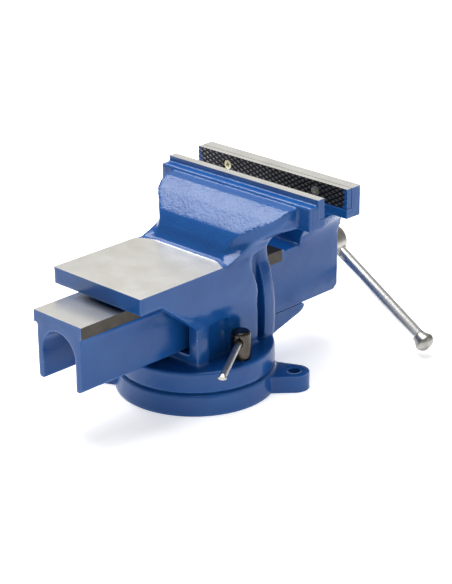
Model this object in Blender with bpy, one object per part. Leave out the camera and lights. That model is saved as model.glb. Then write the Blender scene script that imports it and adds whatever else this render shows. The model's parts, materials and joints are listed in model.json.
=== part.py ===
"""Bench vise with a swivel base, a rear anvil and 150 mm jaws.

The origin is on the bench, on the swivel's axis. +Z is up. The lead screw and its handle face -Y, and
the slide beam's tail and the anvil face +Y. Lengths are in millimetres, and MM turns them into metres.
"""

import math

import bmesh
import bpy
from mathutils import Matrix, Vector

MM = 0.001
GAP = 0.3                      # clearance between pieces that rest on each other

# Swivel base and the deck that turns on it
BASE_R = 60.4
BASE_TOP = 17.5
PARTING_R = 55.4               # bottom of the groove between base and deck
PARTING_LOW = 16.0
LUG_RADIUS = 73.0              # from the swivel axis to a bench bolt
LUG_ANGLES = (216, 36)
LUG_ROOT_R = 55.6
LUG_ROOT_HALF = 15.0           # half width where it leaves the base
LUG_TIP_R = 11.6                # round end, about the hole
LUG_TOP = 13.2
LUG_HOLE_R = 4.5
DECK_R = 58.6
DECK_TOP = 33.5
PIVOT_R = 15.0

# Slide beam, an upside-down channel
BEAM_TOP = 91.7
BEAM_HALF = 24.3
BEAM_BOTTOM = 42.0
BEAM_LEG_HALF = 21.8
BEAM_STRIP = 9.0               # height of the machined guide strips
BEAM_TAIL = 131.1
HEAD_REAR = -46.0              # in front of here the beam is wide over its whole height
CHANNEL_HALF = 16.6
CHANNEL_TOP = 81.0

# Fixed body
SILL_TOP = BEAM_BOTTOM - 0.4
TUNNEL_TOP = BEAM_TOP + 0.4
TUNNEL_HALF = BEAM_HALF + 0.4
PORTAL_HALF = 28.6             # rear mouth of the tunnel
PORTAL_REAR = 35.0
CORE_HALF = 26.8               # walls beside the tunnel, at the bottom of the side grooves
RIB_FRONT = -51.5
RIB_REAR = -36.0
RIB_ROUND = 7.5
ANVIL_HALF = 44.2
ANVIL_TOP = 106.9
ANVIL_THICK = 12.7
ANVIL_REAR = 95.0

# Jaws
JAW_HALF = 75.0
JAW_TOP = 147.2
JAW_BOTTOM = 124.4
FIXED_FACE = -56.2             # gripping faces, with the jaws 24 mm open
MOVING_FACE = -80.3
FIXED_REAR = -41.0
STEP_REAR = -48.9              # the machined strip ends here, and a lower step begins
STEP_TOP = 143.0
MOVING_FRONT = -95.3
PLATE_HALF = 74.7
PLATE_THICK = 5.0
PLATE_BOTTOM = 132.2
PLATE_SCREW_X = 44.0
PLATE_SCREW_Z = 139.0
PLATE_SCREW_R = 2.0            # M4
PLATE_SCREW_HEAD_R = 3.75

# Lead screw, nut and handle
SCREW_Z = 69.0
SCREW_R = 8.0                  # Tr 16 x 4
SCREW_NECK_R = 7.0
SCREW_TAIL = 90.0
FRONT_WALL = (-131.0, -119.0)
HEAD_Y = -151.0
HEAD_R = 13.0
HEAD_FRONT = -159.5
NUT_Y = (-40.0, -14.0)
NUT_BOLT_Y = -27.0
HANDLE_TILT = 31.2             # degrees below level, towards -X
HANDLE_R = 5.0
HANDLE_LOW = -117.0            # ends along the bar, from the screw's axis
HANDLE_HIGH = 62.0
KNOB_LENGTH = 13.0
KNOB_R = 8.0

# Swivel locks
LOCK_X = 46.0
LOCK_NUT_R = 7.3
LOCK_NUT_TOP = 54.8
LOCK_BAR_Z = 47.5
LOCK_BAR_R = 2.5
LOCK_BAR_AZIMUTH = 122.5       # of the left bar, from +X
LOCK_BAR_IN = -11.0            # ends along the bar, from the nut's axis
LOCK_BAR_OUT = 66.0
NICHE_R = 13.2                 # hollow in the trunk, around the nut
NICHE_TOP = 62.0
SCOOP_REAR = 23.0              # the hollow runs on to here, behind the nut
SCOOP_X = 31.5                 # and this far from the middle


def clear_scene():
    """Removes whatever the scene holds."""
    for old in list(bpy.data.objects):
        bpy.data.objects.remove(old, do_unlink=True)


def material(name, color, roughness, metallic):
    """A plain Principled material."""
    made = bpy.data.materials.new(name)
    made.use_nodes = True
    shader = made.node_tree.nodes["Principled BSDF"]
    shader.inputs["Base Color"].default_value = (*color, 1.0)
    shader.inputs["Roughness"].default_value = roughness
    shader.inputs["Metallic"].default_value = metallic
    return made


def empty(name, at, parent=None, turn=None):
    """An empty on a joint's axis. `turn` is a rotation matrix."""
    marker = bpy.data.objects.new(name, None)
    marker.empty_display_size = 0.02
    bpy.context.scene.collection.objects.link(marker)
    marker.matrix_world = Matrix.Translation(Vector(at) * MM) @ (turn or Matrix())
    if parent:
        attach(marker, parent)
    return marker


def attach(child, parent):
    """Parents without moving the child."""
    bpy.context.view_layer.update()
    child.parent = parent
    child.matrix_parent_inverse = parent.matrix_world.inverted()


def to_object(name, bm, finish=None, parent=None, at=(0, 0, 0), turn=None):
    """Makes an object from a bmesh in millimetres, and closes the bmesh."""
    bmesh.ops.recalc_face_normals(bm, faces=bm.faces)
    bmesh.ops.scale(bm, vec=(MM, MM, MM), verts=bm.verts)
    mesh = bpy.data.meshes.new(name)
    bm.to_mesh(mesh)
    bm.free()
    mesh.shade_smooth()
    mesh.set_sharp_from_angle(angle=math.radians(32))
    made = bpy.data.objects.new(name, mesh)
    bpy.context.scene.collection.objects.link(made)
    made.matrix_world = Matrix.Translation(Vector(at) * MM) @ (turn or Matrix())
    if finish:
        mesh.materials.append(finish)
    if parent:
        attach(made, parent)
    return made


def bridge(rings):
    """A bmesh through rings of points, which all have the same count."""
    bm = bmesh.new()
    rows = [[bm.verts.new(point) for point in ring] for ring in rings]
    count = len(rows[0])
    for lower, upper in zip(rows, rows[1:]):
        for i in range(count):
            j = (i + 1) % count
            bm.faces.new((lower[i], lower[j], upper[j], upper[i]))
    bm.faces.new(rows[0])
    bm.faces.new(rows[-1])
    return bm


def prism(outline, axis, low, high):
    """An outline carried straight along X, Y or Z. Its points are in the plane's two axes, in order."""
    def point(u, v, w):
        return {"X": (w, u, v), "Y": (u, w, v), "Z": (u, v, w)}[axis]
    return bridge([[point(u, v, w) for u, v in outline] for w in (low, high)])


def box(low, high):
    """A box between two corners."""
    outline = [(low[0], low[1]), (high[0], low[1]), (high[0], high[1]), (low[0], high[1])]
    return prism(outline, "Z", low[2], high[2])


def turned(profile, steps=48):
    """A profile of (radius, height) turned about Z. Its ends lie on the axis or meet each other."""
    bm = bmesh.new()
    on_axis = profile[0][0] == 0
    first = math.pi / steps                      # half a step, so that no vertex lies on the X or Y axis
    start = Vector((math.cos(first), math.sin(first), 0))
    verts = [bm.verts.new(start * radius + Vector((0, 0, height))) for radius, height in profile]
    pairs = list(zip(verts, verts[1:]))
    if not on_axis:
        pairs.append((verts[-1], verts[0]))
    edges = [bm.edges.new(pair) for pair in pairs]
    bmesh.ops.spin(bm, geom=verts + edges, cent=(0, 0, 0), axis=(0, 0, 1), angle=math.tau, steps=steps,
                   use_merge=True)
    bmesh.ops.remove_doubles(bm, verts=bm.verts, dist=0.001)
    return bm


def rod(radius, low, high, steps=24, chamfer=0.0):
    """A round bar along Z, with chamfered ends."""
    profile = [(0, low), (radius - chamfer, low), (radius, low + chamfer), (radius, high - chamfer),
               (radius - chamfer, high), (0, high)]
    return turned([p for i, p in enumerate(profile) if i == 0 or p != profile[i - 1]], steps)


def ring(inner, outer, low, high, steps=32):
    """A flat ring about Z."""
    return turned([(inner, low), (outer, low), (outer, high), (inner, high)], steps)


def moved(bm, matrix):
    """Places a bmesh by a matrix, and returns it."""
    bmesh.ops.transform(bm, matrix=matrix, verts=bm.verts)
    return bm


def shifted(bm, x=0.0, y=0.0, z=0.0):
    return moved(bm, Matrix.Translation((x, y, z)))


def along_y(bm, z):
    """Turns a piece made about +Z so that it lies about +Y, at height z."""
    return moved(bm, Matrix.Translation((0, 0, z)) @ Matrix.Rotation(math.radians(-90), 4, "X"))


def arc(center, radius, start, stop, steps):
    """Points on an arc, from one angle to another, in degrees."""
    angles = [math.radians(start + (stop - start) * i / steps) for i in range(steps + 1)]
    return [(center[0] + radius * math.cos(a), center[1] + radius * math.sin(a)) for a in angles]


def rounded_box(bm, width, steps=2, lengthwise=None):
    """Rounds the edges of a bmesh: all of them, or those along one axis."""
    def keep(edge):
        if lengthwise is None:
            return edge.calc_face_angle(0) > 0.5
        run = (edge.verts[0].co - edge.verts[1].co).normalized()
        return abs(run["XYZ".index(lengthwise)]) > 0.9
    bmesh.ops.bevel(bm, geom=[e for e in bm.edges if keep(e)], offset=width, segments=steps, profile=0.5,
                    affect="EDGES", clamp_overlap=True)
    return bm


def combine(target, shape, operation):
    """Adds a shape to an object, or cuts it out, with a Boolean. The shape becomes a hidden helper."""
    helper = shape
    if isinstance(shape, bmesh.types.BMesh):
        helper = to_object(f"{target.name}_{operation.lower()}_{len(target.modifiers):02d}", shape)
    helper.hide_render = True
    helper.display_type = "WIRE"
    change = target.modifiers.new(operation.title(), "BOOLEAN")
    change.operation = operation
    change.solver = "EXACT"
    change.object = helper


def mirrored(half):
    """A closed outline from its half at positive X, which runs from bottom to top."""
    return half + [(-x, y) for x, y in reversed(half) if x > 0]


def swivel_base(finish):
    """Round foot with two bench lugs, a T-slot all round and a socket for the deck's pivot."""
    slot = [(50.5, BASE_TOP), (50.5, 11), (54, 11), (54, 4.5), (38, 4.5), (38, 11), (41.5, 11),
            (41.5, BASE_TOP)]
    profile = [(0, 0), (BASE_R - 0.8, 0), (BASE_R, 1.2), (BASE_R - 1.4, PARTING_LOW - 0.8),
               (BASE_R - 2.2, PARTING_LOW), (PARTING_R, PARTING_LOW), (PARTING_R, BASE_TOP), *slot,
               (PIVOT_R + 0.4, BASE_TOP), (PIVOT_R + 0.4, 8), (0, 8)]
    base = to_object("swivel_base", turned(profile, 72), finish)
    for angle in LUG_ANGLES:
        about = Matrix.Rotation(math.radians(angle), 4, "Z")
        tip = arc((LUG_RADIUS, 0), LUG_TIP_R, -72, 72, 9)
        outline = [(LUG_ROOT_R, -LUG_ROOT_HALF), *tip, (LUG_ROOT_R, LUG_ROOT_HALF)]
        combine(base, moved(prism(outline, "Z", 0, LUG_TOP), about), "UNION")
        hole = shifted(rod(LUG_HOLE_R, -5, LUG_TOP + 5, 28), x=LUG_RADIUS)
        combine(base, moved(hole, about), "DIFFERENCE")
    return base


def level_ring(z, side):
    """A ring at height z from its half at positive X, which starts and ends on the middle plane."""
    return [(x, y, z) for x, y in side] + [(-x, y, z) for x, y in reversed(side[1:-1])]


def trunk():
    """Lower body: two cheeks that widen upwards and lean back under the anvil, hollowed at the lock nuts.

    Each level is (z, half width, rear y, front y).
    """
    levels = [(32.5, 37.6, 35.6, -28.5), (36, 37.2, 35, -28.5), (57, 37, PORTAL_REAR, -29),
              (63, 37.6, PORTAL_REAR, -28), (69, 39.2, 42.5, -26.3), (77, 41.8, 52.5, -24),
              (83, 43.2, 60, -21.6), (88, 44, 66.5, -19.2), (94, 44.1, 74, -16.5), (101, 44.1, 74, -14),
              (106.5, 43.8, 74, -14.4)]
    rings = []
    for z, half, rear, front in levels:
        side = [(0, front), (half - 2, front), (half - 0.5, front + 0.6), (half, front + 2), (half, rear),
                (0, rear)]
        rings.append(level_ring(z, side))
    made = to_object("fixed_body_trunk", bridge(rings))
    for side in (-1, 1):
        combine(made, shifted(rod(NICHE_R, 20, NICHE_TOP, 28, 4), x=side * LOCK_X), "DIFFERENCE")
        low_x, high_x = sorted((side * SCOOP_X, side * (LOCK_X + 10)))
        scoop = box((low_x, 0.4, 20), (high_x, SCOOP_REAR, NICHE_TOP + 1))
        combine(made, rounded_box(scoop, 4, 2, "X"), "DIFFERENCE")
    return made


def flare():
    """Upper body: a waist in front of the anvil that spreads to the jaw, with a domed rear and slanted sides.

    Each level is (z, half width and y of the rear corner, of the side corner, of the front corner).
    """
    levels = [(96, 42, 14, 43.7, 10, 43, -15.5), (101.5, 36, 11, 43.8, 10.5, 43, -15.6),
              (ANVIL_TOP - 0.3, 32, 7.5, 43.9, 12, 43.3, -16.5), (110, 33, 5, 44, 2, 43.3, -31),
              (113, 34, 3.3, 44.5, -5, 43.7, -33), (116, 34.6, 2, 45, -10.5, 44.6, -38),
              (119, 36, 0, 46.5, -14, 49, -43), (122, 38.2, -2, 49.5, -17, 56, -47),
              (125, 41.2, -4.3, 53, -20, 62, -49), (128, 46, -9, 57, -24, 62.7, -49),
              (131, 52, -14, 60, -28, 62.7, -49), (134, 57, -19, 61.5, -31, 62.7, -49),
              (137, 60, -25, 62.2, -34, 62.7, -49), (140.4, 62, -33, 62.5, -38, 62.7, -49)]
    rings = []
    for z, rear_half, rear_y, side_half, side_y, front_half, front_y in levels:
        side = [(0, front_y), (front_half, front_y), (front_half, min(side_y - 1, max(front_y + 2, -41))),
                (side_half, side_y), (rear_half, rear_y), (0, rear_y)]
        rings.append(level_ring(z, side))
    return bridge(rings)


def portal_rib():
    """Rounded front pillars on either side of the beam, joined over it. Each level is (z, half width)."""
    levels = [(32.5, 35), (38, 36), (46, 36.4), (58, 36.4), (67, 35.8), (76, 34.4), (84, 32.2), (91, 29.4),
              (97, 28.4), (124, 28.4)]
    rings = []
    for z, half in levels:
        corner = arc((half - RIB_ROUND, RIB_FRONT + RIB_ROUND), RIB_ROUND, -90, 0, 3)
        rings.append(level_ring(z, [(0, RIB_FRONT), *corner, (half, RIB_REAR), (0, RIB_REAR)]))
    return bridge(rings)


def tongue():
    """Front support under the beam."""
    outline = [(-45, SILL_TOP), (-91.5, SILL_TOP), (-93.8, SILL_TOP - 0.9), (-94.2, SILL_TOP - 3),
               (-92.6, SILL_TOP - 5.4), (-88.4, 34), (-77, 31), (-60, 26.2), (-52, 20), (-45, 19)]
    return prism(outline, "X", -24, 24)


def jaw_plate_pocket(face, depth):
    """The pocket that a jaw plate sits in. It is open at the top, at both ends and at the gripping face."""
    inside = face + depth
    low, high = min(face - math.copysign(2, depth), inside), max(face - math.copysign(2, depth), inside)
    return box((-JAW_HALF - 2, low, PLATE_BOTTOM - GAP), (JAW_HALF + 2, high, JAW_TOP + 4))


def screw_holes(face, depth, side):
    """Two holes for jaw plate screws, into the casting behind the plate."""
    holes = []
    for x in (-PLATE_SCREW_X, PLATE_SCREW_X):
        hole = along_y(rod(PLATE_SCREW_R + GAP, -depth if side < 0 else -1, 1 if side < 0 else depth, 16),
                       PLATE_SCREW_Z)
        holes.append(shifted(hole, x=x, y=face))
    return holes


def fixed_body(finish):
    """One casting: deck, trunk, portal, anvil and fixed jaw, with a tunnel for the beam."""
    deck = [(0, 8.4), (PIVOT_R, 8.4), (PIVOT_R, BASE_TOP + GAP), (DECK_R - 0.8, BASE_TOP + GAP),
            (DECK_R, BASE_TOP + 1.2), (DECK_R - 0.3, DECK_TOP - 1), (DECK_R - 1.3, DECK_TOP), (0, DECK_TOP)]
    body = to_object("fixed_body", turned(deck, 72), finish)
    bar = [(FIXED_FACE, JAW_BOTTOM), (FIXED_REAR, JAW_BOTTOM), (FIXED_REAR, STEP_TOP - 0.8),
           (FIXED_REAR - 0.8, STEP_TOP), (STEP_REAR, STEP_TOP), (STEP_REAR, JAW_TOP), (FIXED_FACE, JAW_TOP)]
    anvil = [(ANVIL_HALF - 12, 5), (ANVIL_HALF, 13), (ANVIL_HALF, ANVIL_REAR)]
    added = [
        trunk(),
        tongue(),
        portal_rib(),
        box((-CORE_HALF, -47, 30), (CORE_HALF, 18, 101)),
        box((-CORE_HALF + 0.2, -46.6, 90), (CORE_HALF - 0.2, -14, 123)),
        prism(mirrored(anvil), "Z", ANVIL_TOP - ANVIL_THICK, ANVIL_TOP),
        flare(),
        prism(bar, "X", -JAW_HALF, JAW_HALF),
    ]
    for shape in added:
        combine(body, shape, "UNION")
    tunnel = [(TUNNEL_HALF, -120), (TUNNEL_HALF, -18), (PORTAL_HALF, -18), (PORTAL_HALF, 120)]
    cut = [
        prism(mirrored(tunnel), "Z", SILL_TOP, TUNNEL_TOP),
        jaw_plate_pocket(FIXED_FACE, PLATE_THICK + GAP),
        shifted(rod(10.6, 10, 27.2, 24), y=NUT_BOLT_Y),
        shifted(rod(5.4, 20, SILL_TOP + 5, 20), y=NUT_BOLT_Y),
        shifted(rod(4.5, 10, 40, 20), x=LOCK_X),
        shifted(rod(4.5, 10, 40, 20), x=-LOCK_X),
        *screw_holes(FIXED_FACE + PLATE_THICK, 9, 1),
    ]
    for shape in cut:
        combine(body, shape, "DIFFERENCE")
    return body


def neck():
    """Moving jaw's neck: spreads from the beam's head to the jaw."""
    levels = [(86, 24.3, -87, -131), (91, 24.6, -87, -136), (96, 25.4, -87, -137.4), (101, 28, -86.5, -135),
              (107, 34, -86, -127), (113, 43, -85, -117), (119, 53, -83, -107), (124.4, 62, -82, -97.5),
              (132, 62.7, -82, -94.5)]
    rings = []
    for z, half, rear, front in levels:
        inset = min(5.0, (rear - front) / 3)
        side = [(0, front), (half - inset, front), (half, front + inset), (half, rear), (0, rear)]
        rings.append(level_ring(z, side))
    return bridge(rings)


def channel(low, high):
    """The hollow of the beam, with a round top."""
    centre = CHANNEL_TOP - CHANNEL_HALF
    half = [(CHANNEL_HALF, BEAM_BOTTOM - 10)] + arc((0, centre), CHANNEL_HALF, 0, 90, 7)[:-1]
    return prism(half + [(0, CHANNEL_TOP)] + [(-x, z) for x, z in reversed(half)], "Y", low, high)


def moving_jaw(finish, parent):
    """One casting: the slide beam, its closed head, the neck and the moving jaw."""
    half = [(BEAM_LEG_HALF - 1.5, BEAM_BOTTOM), (BEAM_LEG_HALF, BEAM_BOTTOM + 1.5),
            (BEAM_LEG_HALF, BEAM_TOP - BEAM_STRIP - 1.2), (BEAM_HALF, BEAM_TOP - BEAM_STRIP),
            (BEAM_HALF, BEAM_TOP - 0.4), (BEAM_HALF - 0.4, BEAM_TOP)]
    jaw = to_object("moving_jaw", prism(mirrored(half), "Y", -70, BEAM_TAIL), finish, parent)
    front, _ = FRONT_WALL
    head = [(HEAD_REAR, BEAM_BOTTOM), (front + 4, BEAM_BOTTOM), (front, BEAM_BOTTOM + 3.6), (front, 90),
            (HEAD_REAR, 90)]
    bar = box((-JAW_HALF, MOVING_FRONT, JAW_BOTTOM), (JAW_HALF, MOVING_FACE, JAW_TOP))
    for shape in (prism(head, "X", -BEAM_HALF + 0.05, BEAM_HALF - 0.05), neck(), bar):
        combine(jaw, shape, "UNION")
    cut = [
        channel(FRONT_WALL[1], BEAM_TAIL + 10),
        along_y(rod(SCREW_NECK_R + 0.4, front - 12, FRONT_WALL[1] + 4, 24), SCREW_Z),
        jaw_plate_pocket(MOVING_FACE, -PLATE_THICK - GAP),
        *screw_holes(MOVING_FACE - PLATE_THICK, 9, -1),
    ]
    for shape in cut:
        combine(jaw, shape, "DIFFERENCE")
    return jaw


def jaw_plate(name, face, side, finish, parent):
    """Hardened plate with two countersunk holes. `side` is the way from its face into the casting."""
    low, high = sorted((face, face + side * PLATE_THICK))
    plate = box((-PLATE_HALF, low, PLATE_BOTTOM), (PLATE_HALF, high, JAW_TOP - 0.1))
    made = to_object(name, plate, finish, parent)
    for x in (-PLATE_SCREW_X, PLATE_SCREW_X):
        head = PLATE_SCREW_HEAD_R + 0.35
        shank = PLATE_SCREW_R + 0.35
        profile = [(0, -1), (head, -1), (head, 0.6), (shank, 0.6 + head - shank), (shank, 7), (0, 7)]
        turn = Matrix.Rotation(math.radians(-90 * side), 4, "X")
        sink = moved(turned(profile, 20), Matrix.Translation((x, face, PLATE_SCREW_Z)) @ turn)
        combine(made, sink, "DIFFERENCE")
    return made


def plate_screw(name, x, face, side, finish, parent):
    """Countersunk M4 screw with a cross recess."""
    head = PLATE_SCREW_HEAD_R
    profile = [(0, 0.35), (head, 0.35), (head, 0.75), (PLATE_SCREW_R, 0.75 + head - PLATE_SCREW_R),
               (PLATE_SCREW_R, 12.4), (PLATE_SCREW_R - 0.5, 13), (0, 13)]
    turn = Matrix.Rotation(math.radians(-90 * side), 4, "X")
    made = to_object(name, turned(profile, 20), finish, parent, (x, face, PLATE_SCREW_Z), turn)
    place = Matrix.Translation((x, face, PLATE_SCREW_Z)) @ turn
    quarter = [(1.9, 0.4), (0.4, 0.4), (0.4, 1.9)]
    cross = [(x * math.cos(a) - y * math.sin(a), x * math.sin(a) + y * math.cos(a))
             for a in (math.radians(50 + 90 * i) for i in range(4)) for x, y in quarter]
    combine(made, moved(prism(cross, "Z", -1, 1.9), place), "DIFFERENCE")
    return made


def lead_screw(finish, parent):
    """Threaded spindle with a plain neck and a cross-drilled head."""
    head = HEAD_FRONT
    wall_out = FRONT_WALL[0] - GAP - 2.0 - GAP
    profile = [(0, head), (7, head), (11, head + 1.6), (HEAD_R, head + 4.6), (HEAD_R, wall_out - 3),
               (HEAD_R - 1, wall_out), (SCREW_NECK_R, wall_out), (SCREW_NECK_R, FRONT_WALL[1] + 10),
               (SCREW_R, FRONT_WALL[1] + 11), (SCREW_R, SCREW_TAIL - 2), (SCREW_R - 2, SCREW_TAIL),
               (0, SCREW_TAIL)]
    made = to_object("lead_screw", along_y(turned(profile, 28), SCREW_Z), finish, parent)
    combine(made, handle_placed(rod(HANDLE_R + 0.5, -30, 30, 20)), "DIFFERENCE")
    pin = moved(rod(2.3, -20, 20, 12), Matrix.Translation((0, FRONT_WALL[1] + 5, SCREW_Z)))
    combine(made, pin, "DIFFERENCE")
    return made


def handle_turn():
    """Turns +Z to the handle bar's direction, up towards +X."""
    return Matrix.Rotation(math.radians(90 - HANDLE_TILT), 4, "Y")


def handle_placed(bm):
    """Places a piece made about +Z on the handle bar's axis."""
    return moved(bm, Matrix.Translation((0, HEAD_Y, SCREW_Z)) @ handle_turn())


def knob(low, outward):
    """Flared end of the handle, from the bar's side at `low`. `outward` is +1 or -1 along the bar."""
    length = KNOB_LENGTH
    shape = [(3.2, 0), (HANDLE_R + 0.3, 0), (HANDLE_R + 0.9, 2.4), (KNOB_R - 0.5, length - 5.5),
             (KNOB_R, length - 4), (KNOB_R - 0.8, length - 1.6), (KNOB_R - 3.4, length), (3.2, length)]
    bm = turned(shape, 28)
    if outward < 0:
        moved(bm, Matrix.Rotation(math.pi, 4, "X"))
    return shifted(bm, z=low)


def screw_group(steel, parent):
    """Lead screw, the washer and collar that hold it in the jaw, and the collar's pin."""
    lead_screw(steel["machined"], parent)
    low = FRONT_WALL[0] - GAP - 2.0
    washer = ring(SCREW_NECK_R + 0.4, 12.0, low, low + 2.0, 28)
    to_object("thrust_washer", along_y(washer, SCREW_Z), steel["zinc"], parent)
    start = FRONT_WALL[1] + GAP
    collar = along_y(ring(SCREW_NECK_R + 0.4, 11.2, start, start + 9.0, 28), SCREW_Z)
    made = to_object("retaining_collar", collar, steel["machined"], parent)
    middle = Matrix.Translation((0, FRONT_WALL[1] + 5, SCREW_Z))
    combine(made, moved(rod(2.3, -20, 20, 12), middle), "DIFFERENCE")
    to_object("collar_pin", moved(rod(2.0, -11.2, 11.2, 12, 0.4), middle), steel["zinc"], parent)


def handle_group(steel, parent):
    """Sliding handle bar with a knob pressed on each end."""
    core = 3.0                                   # spigots that the knobs are pressed on
    low = HANDLE_LOW + KNOB_LENGTH + GAP
    high = HANDLE_HIGH - KNOB_LENGTH - GAP
    profile = [(0, HANDLE_LOW + 1), (core, HANDLE_LOW + 1), (core, low), (HANDLE_R, low), (HANDLE_R, high),
               (core, high), (core, HANDLE_HIGH - 1), (0, HANDLE_HIGH - 1)]
    to_object("handle_bar", handle_placed(turned(profile, 24)), steel["bright"], parent)
    ends = (("left", HANDLE_LOW + KNOB_LENGTH, -1), ("right", HANDLE_HIGH - KNOB_LENGTH, 1))
    for name, start, outward in ends:
        to_object(f"handle_knob_{name}", handle_placed(knob(start, outward)), steel["bright"], parent)


def lead_nut(finish, parent):
    """Nut block that stands on the sill inside the beam."""
    low, high = NUT_Y
    foot = SILL_TOP + GAP
    shoulder = arc((0, SCREW_Z), 11.4, 0, 90, 6)[:-1]
    half = [(14.0, foot), (15.6, foot + 1.6), (15.6, 58), (11.4, 63)] + shoulder
    outline = half + [(0, SCREW_Z + 11.4)] + [(-x, z) for x, z in reversed(half)]
    made = to_object("lead_nut", prism(outline, "Y", low, high), finish, parent)
    combine(made, along_y(rod(SCREW_R + 0.4, low - 5, high + 5, 28), SCREW_Z), "DIFFERENCE")
    combine(made, shifted(rod(5.3, foot - 5, 55, 20), y=NUT_BOLT_Y), "DIFFERENCE")
    return made


def nut_bolt(steel, parent):
    """Hexagon bolt and spring washer that hold the nut from below."""
    head = turned([(0, 18.4), (8.2, 18.4), (9.2, 19.2), (9.2, 24.6), (0, 24.6)], 6)
    bolt = to_object("nut_bolt", shifted(head, y=NUT_BOLT_Y), steel["zinc"], parent)
    combine(bolt, shifted(rod(5.0, 22, 53, 20, 0.6), y=NUT_BOLT_Y), "UNION")
    washer = shifted(ring(5.3, 9.4, 24.9, 26.9, 24), y=NUT_BOLT_Y)
    to_object("nut_bolt_washer", washer, steel["zinc"], parent)


def lock_direction(side):
    """Unit vector of a lock bar. The right one mirrors the left one."""
    angle = math.radians(LOCK_BAR_AZIMUTH)
    return Vector((math.cos(angle) * -side, math.sin(angle), 0))


def lock_placed(bm, side):
    """Places a piece made about +Z on a lock bar's axis."""
    turn = lock_direction(side).to_track_quat("Z", "Y").to_matrix().to_4x4()
    return moved(bm, Matrix.Translation((side * LOCK_X, 0, LOCK_BAR_Z)) @ turn)


def lock_group(name, side, steel, deck, nut_axis, bar_axis):
    """Swivel lock: a T-bolt in the base's slot, a tall round nut and its sliding bar."""
    at = (side * LOCK_X, 0, 0)
    head = rounded_box(box((-7, -7, 5.0), (7, 7, 10.7)), 0.8, 1)
    bolt = to_object(f"lock_bolt_{name}", shifted(head, x=at[0]), steel["zinc"], deck)
    combine(bolt, shifted(rod(4.0, 9, 41, 20, 0.5), x=at[0]), "UNION")
    low = DECK_TOP + GAP
    top = LOCK_NUT_TOP
    profile = [(4.35, low), (LOCK_NUT_R - 0.6, low), (LOCK_NUT_R, low + 0.8), (LOCK_NUT_R, top - 1.4),
               (LOCK_NUT_R - 1.6, top), (0, top), (0, 42), (4.35, 42)]
    nut = turned(profile[5:] + profile[:5] + [profile[5]], 28)
    nut_object = to_object(f"lock_nut_{name}", shifted(nut, x=at[0]), steel["satin"], nut_axis)
    combine(nut_object, lock_placed(rod(LOCK_BAR_R + 0.5, -20, 20, 16), side), "DIFFERENCE")
    bar = turned([(0, LOCK_BAR_IN), (LOCK_BAR_R - 0.4, LOCK_BAR_IN), (LOCK_BAR_R, LOCK_BAR_IN + 0.4),
                  (LOCK_BAR_R, LOCK_BAR_IN + 2.6), (LOCK_BAR_R, LOCK_BAR_OUT - 4),
                  (LOCK_BAR_R, LOCK_BAR_OUT - 0.4), (LOCK_BAR_R - 0.4, LOCK_BAR_OUT), (0, LOCK_BAR_OUT)], 16)
    for vert in bar.verts:                       # each end is squeezed flat so that the bar can't fall out
        for end, inward in ((LOCK_BAR_IN, 1), (LOCK_BAR_OUT, -1)):
            if abs(vert.co.z - end) < 0.5:
                vert.co.x *= 1.35
                vert.co.y *= 0.6
    to_object(f"lock_bar_{name}", lock_placed(bar, side), steel["satin"], bar_axis)


def main():
    clear_scene()
    enamel = material("blue_enamel_on_cast_iron", (0.030, 0.085, 0.330), 0.35, 0.0)
    hardened = material("black_oxide_plate", (0.025, 0.025, 0.028), 0.5, 0.7)
    brassy = material("yellow_zinc_screw", (0.62, 0.52, 0.30), 0.35, 0.9)
    iron = material("raw_cast_iron", (0.16, 0.15, 0.14), 0.6, 0.8)
    steel = {
        "bright": material("polished_steel", (0.62, 0.62, 0.62), 0.18, 1.0),
        "satin": material("satin_steel", (0.42, 0.40, 0.38), 0.38, 1.0),
        "machined": material("machined_steel", (0.48, 0.47, 0.45), 0.32, 1.0),
        "zinc": material("zinc_steel", (0.55, 0.55, 0.56), 0.35, 1.0),
    }

    swivel_base(enamel)
    swivel = empty("swivel_axis", (0, 0, BASE_TOP))
    slide = empty("slide_axis", (0, MOVING_FACE, SCREW_Z), swivel)
    screw = empty("screw_axis", (0, HEAD_Y, SCREW_Z), slide)
    handle = empty("handle_axis", (0, HEAD_Y, SCREW_Z), screw, handle_turn())

    body = fixed_body(enamel)
    attach(body, swivel)
    jaw_plate("fixed_jaw_plate", FIXED_FACE, 1, hardened, swivel)
    lead_nut(iron, swivel)
    nut_bolt(steel, swivel)

    moving_jaw(enamel, slide)
    jaw_plate("moving_jaw_plate", MOVING_FACE, -1, hardened, slide)
    for name, x in (("left", -PLATE_SCREW_X), ("right", PLATE_SCREW_X)):
        plate_screw(f"fixed_plate_screw_{name}", x, FIXED_FACE, 1, brassy, swivel)
        plate_screw(f"moving_plate_screw_{name}", x, MOVING_FACE, -1, brassy, slide)

    screw_group(steel, screw)
    handle_group(steel, handle)

    for name, side in (("left", -1), ("right", 1)):
        nut_axis = empty(f"lock_nut_axis_{name}", (side * LOCK_X, 0, LOCK_BAR_Z), swivel)
        turn = lock_direction(side).to_track_quat("Z", "Y").to_matrix().to_4x4()
        bar_axis = empty(f"lock_bar_axis_{name}", (side * LOCK_X, 0, LOCK_BAR_Z), nut_axis, turn)
        lock_group(name, side, steel, swivel, nut_axis, bar_axis)


main()
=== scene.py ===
# %% [markdown]
# # A bench vise with a swivel base
# The vise is three grey iron castings, painted with blue enamel and then milled bare where they have to
# be flat, and some turned steel: a lead screw, a sliding handle and two swivel locks.
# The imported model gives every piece's place. This lesson gives each piece its fine surface and finish.

import json
import math

import bmesh
import bpy
import numpy as np
from mathutils import Matrix, Vector


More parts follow.
